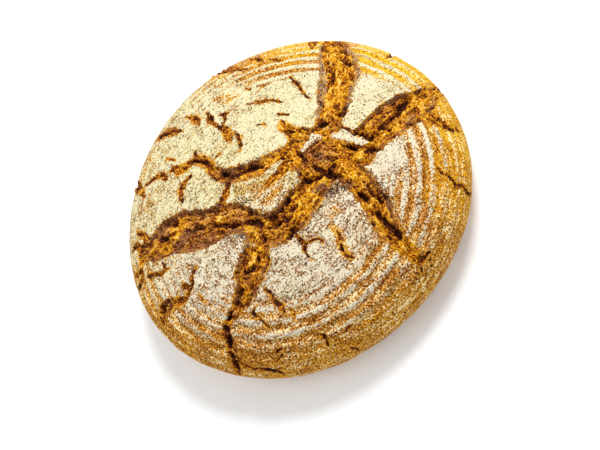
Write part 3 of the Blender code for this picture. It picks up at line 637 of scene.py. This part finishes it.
def bakeCrust(flat, seen, half, plain):
    # how toasted the torn places are, and how golden the bare crust is
    toast = 0.1 + 0.2 * cloud(plain, 12, 2, 5.1)
    for x, y, radius, amount in baking["toasted"]:
        spread = np.hypot(seen[:, 0] - x, seen[:, 1] - y)
        toast = np.maximum(toast, amount * (1 - softStep(spread, radius * 0.55, radius * 1.2)))
    toast = np.maximum(toast, 0.35 * (1 - softStep(half, 1.5, 5)))
    away = fromRingCentre(flat)
    gold = 0.08 + 0.4 * softStep(away, 70, 92) + 0.24 * softStep(away, 100, 134)
    for x, y, radius, amount in baking["gold"]:
        spread = np.hypot(flat[:, 0] - x, flat[:, 1] - y)
        gold = np.maximum(gold, amount * (1 - softStep(spread, radius * 0.4, radius * 1.3)))
    gold = np.clip(gold + 0.2 * cloud(plain, 15, 2, 0.7), 0, 1.5)
    scorch = overStrips(baking["scorched"], seen, plain, 2.6)
    dusty = overStrips(baking["dusty"], seen, plain, 6.1)
    bright = np.zeros(len(flat))
    for x, y, radius in baking["bright"]:
        spread = np.hypot(seen[:, 0] - x, seen[:, 1] - y) + 2.5 * cloud(plain, 7, 2, 9.9)
        bright = np.maximum(bright, 1 - softStep(spread, radius * 0.3, radius * 1.2))
    return np.clip(toast - bright, 0, 1), bright, gold, scorch, dusty


class Value:
    # one value in a material; Python's operators add its Math nodes
    def __init__(self, desk, socket):
        self.desk = desk
        self.socket = socket

    def math(self, operation, *values):
        return self.desk.node("ShaderNodeMath", {"operation": operation}, dict(enumerate(values)))

    def __add__(self, other):
        return self.math("ADD", self, other)

    __radd__ = __add__

    def __mul__(self, other):
        return self.math("MULTIPLY", self, other)

    __rmul__ = __mul__

    def __sub__(self, other):
        return self.math("SUBTRACT", self, other)

    def __rsub__(self, other):
        return self.math("SUBTRACT", other, self)

    def __truediv__(self, other):
        return self.math("DIVIDE", self, other)

    def __pow__(self, other):
        return self.math("POWER", self, other)

    def most(self, other):
        return self.math("MAXIMUM", self, other)

    def size(self):
        return self.math("ABSOLUTE", self)

    def cosine(self):
        return self.math("COSINE", self)


class Desk:
    # makes the nodes of one material
    def __init__(self, name):
        self.material = bpy.data.materials.new(name)
        self.material.use_nodes = True
        self.tree = self.material.node_tree
        self.tree.nodes.clear()

    def node(self, kind, settings=None, sockets=None, out=0):
        made = self.tree.nodes.new(kind)
        for name, value in (settings or {}).items():
            setattr(made, name, value)
        for name, value in (sockets or {}).items():
            if isinstance(value, Value):
                self.tree.links.new(value.socket, made.inputs[name])
            else:
                made.inputs[name].default_value = value
        return Value(self, made.outputs[out]) if made.outputs else made

    def step(self, value, low, high):
        settings = {"interpolation_type": "SMOOTHSTEP"}
        return self.node("ShaderNodeMapRange", settings, {0: value, 1: low, 2: high})

    def noise(self, place, size, detail=2.0, roughness=0.5, distortion=0.0):
        return self.node("ShaderNodeTexNoise", {}, {
            "Vector": place, "Scale": 1 / size, "Detail": detail, "Roughness": roughness,
            "Distortion": distortion})

    def mix(self, share, first, second):
        return self.node("ShaderNodeMix", {"data_type": "RGBA"}, {0: share, 6: first, 7: second}, 2)


def paint(red, green, blue):
    # a screen colour, 0 to 255, as the shader's own
    shades = [shade / 255 for shade in (red, green, blue)]
    return (*[shade / 12.92 if shade <= 0.04045 else ((shade + 0.055) / 1.055) ** 2.4 for shade in shades], 1)


crustColours = {
    "oliveDeep": paint(104, 68, 20),
    "olive": paint(178, 142, 66),
    "oliveLight": paint(212, 184, 116),
    "dullDeep": paint(92, 56, 30),
    "dull": paint(138, 98, 60),
    "dullLight": paint(180, 146, 104),
    "tanDeep": paint(112, 60, 8),
    "tan": paint(178, 110, 26),
    "tanLight": paint(212, 152, 66),
    "goldDeep": paint(166, 104, 8),
    "gold": paint(198, 134, 8),
    "goldLight": paint(224, 166, 40),
    "sunnyDeep": paint(190, 130, 6),
    "sunny": paint(220, 166, 14),
    "sunnyLight": paint(238, 198, 64),
    "flour": paint(219, 210, 167),
    "flourGrey": paint(223, 211, 184),
    "grains": paint(248, 224, 164),
    "thin": paint(208, 190, 118),
    "thinGrey": paint(196, 168, 124),
    "speck": paint(158, 126, 52),
    "speckGrey": paint(140, 100, 62),
    "craze": paint(98, 58, 20),
    "edgeSoft": 0.06,
}

tearColours = {
    "cream": paint(246, 208, 126),
    "light": paint(234, 178, 36),
    "gold": paint(206, 136, 14),
    "orange": paint(160, 84, 16),
    "brown": paint(96, 42, 12),
    "pitShade": paint(46, 18, 8),
    "toastCream": paint(214, 160, 92),
    "toastLight": paint(174, 108, 40),
    "toastDark": paint(96, 44, 20),
    "wallLight": paint(168, 108, 52),
    "wallDark": paint(78, 36, 20),
    "scorchDark": paint(52, 25, 20),
    "scorchLight": paint(172, 116, 74),
    "dustDark": paint(88, 52, 30),
    "dustLight": paint(204, 172, 128),
}

# The torn crumb from its crests down to its pits: colour, and how dark a place has to be for it. The darkness
# is painted shade and painted highlight from the tears' shape, mixed with the crumb's own uneven tone
crumbShades = (("light", -0.35, -0.1), ("gold", 0.0, 0.25), ("orange", 0.35, 0.55), ("brown", 0.62, 0.8))

# Size of each pattern in the crust, in millimetres
patternSizes = {
    "dot": 1.0,
    "speckle": 1.35,
    "grain": 2.1,
    "shred": 3.4,
    "clump": 5.0,
    "patch": 13.0,
    "vein": 16.0,
    "wander": 24.0,
    "streakAlong": 16.0,
    "streakAcross": 2.3,
}

crustFinish = {
    "roughness": 0.75,
    "flourRoughness": 0.2,   # added where flour lies
    "gloss": 0.08,
    "bumpHeight": 0.0008,    # metres
}


def uneven(*patterns):
    # patterns about their middle, each times its weight, added up
    return sum((pattern - 0.5) * weight for pattern, weight in patterns)


def crustPatterns(desk):
    # all that varies over the crust: values kept in the mesh, then grains and patches of several sizes
    size = patternSizes
    see = SimpleNamespace()
    metres = desk.node("ShaderNodeTexCoord", {}, {}, 3)
    spot = desk.node("ShaderNodeVectorMath", {"operation": "SCALE"}, {0: metres, 3: 1000.0})

    def kept(name):
        stored = desk.node("ShaderNodeAttribute", {"attribute_name": name}, {}, 1)
        return (desk.node("ShaderNodeSeparateXYZ", {}, {0: stored}, i) for i in range(3))

    placeX, placeY, see.reach = kept("mapPlace")
    see.valley, see.crest, see.greyness = kept("flourCover")
    see.toast, see.hollow, see.golden = kept("bakedLookAndShade")
    see.onWall, see.scorch, see.dusty = kept("wallLook")
    strandX, strandY, sure = kept("strandPlace")

    see.dot = desk.noise(spot, size["dot"], 0.0)
    see.speckle = desk.noise(spot, size["speckle"], 1.0, 0.5)
    see.grain = desk.noise(spot, size["grain"], 2.0, 0.6)
    see.clump = desk.noise(spot, size["clump"], 2.0, 0.6, 0.4)
    see.patch = desk.noise(spot, size["patch"], 3.0, 0.55)
    see.vein = (desk.noise(spot, size["vein"], 4.0, 0.6) - 0.5).size()
    strand = desk.node("ShaderNodeCombineXYZ", {}, {0: strandX, 1: strandY})
    loose = desk.noise(spot, size["shred"] * 1.2, 3.0, 0.7, 1.6)
    see.shred = loose + (desk.noise(strand, size["shred"], 3.0, 0.7, 1.0) - loose) * sure

    # basket ridges: flour caught on the crests, in streaks along them
    fromX = placeX - basketRings["centre"][0]
    fromY = placeY - basketRings["centre"][1]
    away = ((fromX * fromX + fromY * fromY) ** 0.5).most(1)
    streaks = basketRings["radius"] / size["streakAlong"]
    polar = desk.node("ShaderNodeCombineXYZ", {}, {
        0: fromX / away * streaks, 1: fromY / away * streaks, 2: away * (1 / size["streakAcross"])})
    see.streak = desk.noise(polar, 1.0, 2.0, 0.6)
    wander = uneven((desk.noise(spot, size["wander"], 1.0), 3.0), (see.clump, 2.4))
    turned = (away + wander - basketRings["radius"]) * (2 * math.pi / basketRings["spacing"])
    onCrest = desk.step(turned.cosine() + uneven((see.streak, 1.0), (see.patch, 1.0)), 0.0, 0.7)
    see.cover = see.valley + (see.crest - see.valley) * onCrest
    see.fleck = uneven((see.grain, -1.3), (see.speckle, -2.4), (see.dot, 2.6), (see.streak, -0.8)) + 0.5
    see.fine = (see.fleck - 0.5) * 0.7
    return see


def bareCrust(desk, see):
    # olive and dull brown in the middle, then tan, gold and sunny yellow towards the rim
    deep = desk.step(see.fleck, 0.05, 0.6)
    light = desk.step(see.fleck, 0.6, 0.92)

    def toned(name):
        body = desk.mix(deep, crustColours[name + "Deep"], crustColours[name])
        return desk.mix(light, body, crustColours[name + "Light"])

    bare = desk.mix(desk.step(see.greyness, 0.35, 0.75), toned("olive"), toned("dull"))
    bare = desk.mix(desk.step(see.golden, 0.0, 0.5), bare, toned("tan"))
    bare = desk.mix(desk.step(see.golden, 0.45, 1.0), bare, toned("gold"))
    return desk.mix(desk.step(see.golden, 1.0, 1.45), bare, toned("sunny"))


def flourCoat(desk, see, thick):
    # thin flour lets the crust through; brown specks of bran and fine cracks show in it
    tint = crustColours
    white = desk.mix(see.greyness, tint["flour"], tint["flourGrey"])
    onRim = desk.step(see.golden, 0.15, 0.7) * desk.step(see.cover, 0.6, 0.3)
    white = desk.mix(onRim, white, tint["grains"])
    powder = desk.mix(thick, desk.mix(see.greyness, tint["thin"], tint["thinGrey"]), white)
    bran = uneven((see.speckle, 2.2), (see.dot, 2.2), (see.clump, 1.4), (see.streak, 1.2), (see.patch, 1.4))
    bran = desk.step(bran - see.cover, -0.76, -0.5) * (0.7 + see.greyness * 0.2)
    bran = bran * desk.step(see.cover, 0.3, 0.7)
    powder = desk.mix(bran, powder, desk.mix(see.greyness, tint["speck"], tint["speckGrey"]))
    crazed = 1 - desk.step(see.vein, 0.007, 0.026)
    crazed = crazed * desk.step(uneven((see.patch, 2.0), (see.grain, 2.5)), -0.12, 0.1)
    return desk.mix(crazed * desk.step(see.cover, 1.15, 0.95) * 0.8, powder, tint["craze"])


def tornCrumb(desk, see):
    # strands from cream to near-black, browner where toasted, with dark walls and scorched or dusty slopes;
    # painted shade darkens the pits, cracks and wall feet, and a painted highlight lightens the crests
    torn = tearColours
    # dark: painted shade from the tears' shape, plus the crumb's own uneven tone
    dark = see.hollow - uneven(
        (see.shred, 3.0), (see.grain, 1.0), (see.speckle, 1.9), (see.clump, 0.9), (see.dot, 0.8))
    crumb = torn["cream"]
    for name, low, high in crumbShades:
        crumb = desk.mix(desk.step(dark, low, high), crumb, torn[name])
    toasted = desk.mix(desk.step(dark, -0.2, 0.1), torn["toastCream"], torn["toastLight"])
    toasted = desk.mix(desk.step(dark, 0.3, 0.55), toasted, torn["toastDark"])
    browned = see.toast + uneven((see.patch, 1.0), (see.clump, 1.4))
    crumb = desk.mix(desk.step(browned, 0.2, 0.9), crumb, toasted)
    wall = desk.mix(desk.step(dark * 0.6 - see.fine * 0.7, 0.0, 0.5), torn["wallLight"], torn["wallDark"])
    crumb = desk.mix(desk.step(see.onWall * (see.fine + 1), 0.5, 0.9), crumb, wall)
    scorched = desk.mix(desk.step(see.fleck, 0.4, 0.95), torn["scorchDark"], torn["scorchLight"])
    crumb = desk.mix(desk.step(see.scorch * (see.fine * 2.6 + 1.15), 0.38, 0.68), crumb, scorched)
    dust = desk.mix(desk.step(see.fleck, 0.25, 0.85), torn["dustDark"], torn["dustLight"])
    crumb = desk.mix(desk.step(see.dusty * (see.fine * 1.8 + 1.15), 0.38, 0.68), crumb, dust)
    return desk.mix(desk.step(dark, 0.88, 1.08), crumb, torn["pitShade"])


def breadMaterial():
    desk = Desk("farmhouseCrust")
    see = crustPatterns(desk)

    # flour lies where the cover is denser than the local unevenness
    field = uneven((see.dot, 1.3), (see.clump, 0.6), (see.speckle, 2.2), (see.patch, 0.7))
    field = field + uneven((see.streak, see.greyness * 1.8 + 0.3)) + 0.5
    edge = crustColours["edgeSoft"]
    floured = desk.step(see.cover - field, -edge, edge)
    thick = desk.step(see.cover - field, -0.1, see.cover * 0.45 + 0.02)
    plate = desk.mix(floured, bareCrust(desk, see), flourCoat(desk, see, thick))
    burnt = desk.step(see.scorch * 0.75 - see.fine, 0.42, 0.62) * 0.9
    plate = desk.mix(burnt, plate, tearColours["scorchDark"])

    tornEdge = see.reach + 0.4 + uneven((see.grain, 4.2), (see.clump, 3.4), (see.speckle, 1.2))
    isTorn = desk.step(tornEdge, -0.3, 0.3)
    colour = desk.mix(isTorn, plate, tornCrumb(desk, see))
    rough = floured * (1 - isTorn) * crustFinish["flourRoughness"] + crustFinish["roughness"]
    bumps = (see.grain * 0.9 + see.speckle * 0.5 + see.clump * 0.5) * (1 - isTorn)
    bumps = bumps + (see.shred * 1.5 + see.grain * 0.9) * isTorn
    bump = desk.node("ShaderNodeBump", {}, {
        "Strength": 1.0, "Distance": crustFinish["bumpHeight"], "Height": bumps})
    surface = desk.node("ShaderNodeBsdfPrincipled", {}, {
        "Base Color": colour, "Roughness": rough, "Normal": bump,
        "Specular IOR Level": crustFinish["gloss"]})
    desk.node("ShaderNodeOutputMaterial", {}, {0: surface})
    return desk.material


def keepValues(mesh, name, *values):
    layer = mesh.attributes.new(name, "FLOAT_VECTOR", "POINT")
    layer.data.foreach_set("vector", np.column_stack(values).astype(np.float32).ravel())


def makeLoaf():
    crust = growCrust()
    crust.verts.index_update()
    ball = np.array([corner.co for corner in crust.verts])
    flat, under = flatFromBall(ball)
    plain = loafPlaces(flat, under, np.zeros(len(flat)))
    raised, reach, half, hollow, onWall, seen, strand = crustRelief(flat, plain)
    places = loafPlaces(flat, under, raised * (under >= 1)) / 1000
    for corner, place in zip(crust.verts, places.tolist()):
        corner.co = place
    bmesh.ops.recalc_face_normals(crust, faces=crust.faces[:])
    print("crust raised and torn")

    mesh = bpy.data.meshes.new("farmhouseLoaf")
    crust.to_mesh(mesh)
    crust.free()
    valley, crest = layFlour(flat, reach, plain)
    toast, bright, golden, scorch, dusty = bakeCrust(flat, seen, half, plain)
    # bright yellow crumb gets less painted shade
    hollow = hollow - 0.2 * bright
    south = softStep(-flat[:, 1] - 0.35 * flat[:, 0], -10, 60)
    east = softStep(flat[:, 0], 55, 90)
    grey = np.clip(0.15 + 0.75 * south + 0.3 * east + 0.25 * cloud(plain, 25, 2, 3.9), 0, 1)
    grey = np.maximum(grey, 0.75 * softStep(insideAny(flat, crustScraps), -2, 0))
    keepValues(mesh, "mapPlace", flat[:, 0], flat[:, 1], np.clip(reach, -20, 20))
    keepValues(mesh, "flourCover", valley, crest, grey)
    # the second of these three values is the painted shade of the tears; the others are toast and gold
    keepValues(mesh, "bakedLookAndShade", toast, hollow, golden)
    keepValues(mesh, "wallLook", onWall, scorch, dusty)
    keepValues(mesh, "strandPlace", *strand.T)
    mesh.shade_smooth()
    mesh.materials.append(breadMaterial())
    loaf = bpy.data.objects.new("farmhouseLoaf", mesh)
    bpy.context.scene.collection.objects.link(loaf)
    print("loaf made,", len(mesh.polygons), "faces")
    return loaf


loaf = makeLoaf()
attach(loaf, "root")
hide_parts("loaf")

# Camera, floor and light. Lengths here are metres
studio = {
    "elevation": 53.5,
    "roll": 44.0,
    "distance": 1.0,
    "target": (0, 0, 0.028),
    "lens": 81.17,
    "shift": (0.01465, -0.04028),
    "floorSize": 8.0,
    "floorColour": (0.82, 0.835, 0.84, 1),
    "floorGlow": 0.2,
    "skyStrength": 0.58,
    "skyColour": (0.97, 0.985, 1.0, 1),
    "keyPlace": (1.05, 0.65, 1.75),
    "keySize": 0.8,
    "keyPower": 40.0,
    "fillPlace": (-1.1, 0.3, 1.3),
    "fillSize": 1.4,
    "fillPower": 7.0,
}


def addCamera():
    lift = math.radians(studio["elevation"])
    roll = math.radians(studio["roll"])
    back = Vector((0, -math.cos(lift), math.sin(lift)))
    level = Vector((1, 0, 0))
    upright = Vector((0, math.sin(lift), math.cos(lift)))
    right = level * math.cos(roll) - upright * math.sin(roll)
    up = level * math.sin(roll) + upright * math.cos(roll)
    camera = bpy.data.objects.new("camera", bpy.data.cameras.new("camera"))
    turn = Matrix((right, up, back)).transposed().to_4x4()
    camera.matrix_world = Matrix.Translation(Vector(studio["target"]) + back * studio["distance"]) @ turn
    camera.data.lens = studio["lens"]
    camera.data.shift_x, camera.data.shift_y = studio["shift"]
    bpy.context.scene.collection.objects.link(camera)
    bpy.context.scene.camera = camera


def addFloor():
    sheet = bmesh.new()
    bmesh.ops.create_grid(sheet, x_segments=1, y_segments=1, size=studio["floorSize"] / 2)
    mesh = bpy.data.meshes.new("floor")
    sheet.to_mesh(mesh)
    sheet.free()
    desk = Desk("paleFloor")
    surface = desk.node("ShaderNodeBsdfPrincipled", {}, {
        "Base Color": studio["floorColour"], "Roughness": 0.9, "Specular IOR Level": 0.1,
        "Emission Color": studio["floorColour"], "Emission Strength": studio["floorGlow"]})
    desk.node("ShaderNodeOutputMaterial", {}, {0: surface})
    mesh.materials.append(desk.material)
    floor = bpy.data.objects.new("floor", mesh)
    bpy.context.scene.collection.objects.link(floor)


def addLight(name, place, size, power):
    lamp = bpy.data.lights.new(name, "AREA")
    lamp.shape = "DISK"
    lamp.size = size
    lamp.energy = power
    light = bpy.data.objects.new(name, lamp)
    light.location = place
    light.rotation_euler = Vector(place).to_track_quat("Z", "Y").to_euler()
    bpy.context.scene.collection.objects.link(light)


addCamera()
addFloor()
addLight("keyLight", studio["keyPlace"], studio["keySize"], studio["keyPower"])
addLight("fillLight", studio["fillPlace"], studio["fillSize"], studio["fillPower"])
world = bpy.data.worlds.new("paleRoom")
world.use_nodes = True
world.node_tree.nodes["Background"].inputs[0].default_value = studio["skyColour"]
world.node_tree.nodes["Background"].inputs[1].default_value = studio["skyStrength"]
bpy.context.scene.world = world
bpy.context.scene.view_settings.view_transform = "Standard"
print("camera, floor and lights placed")
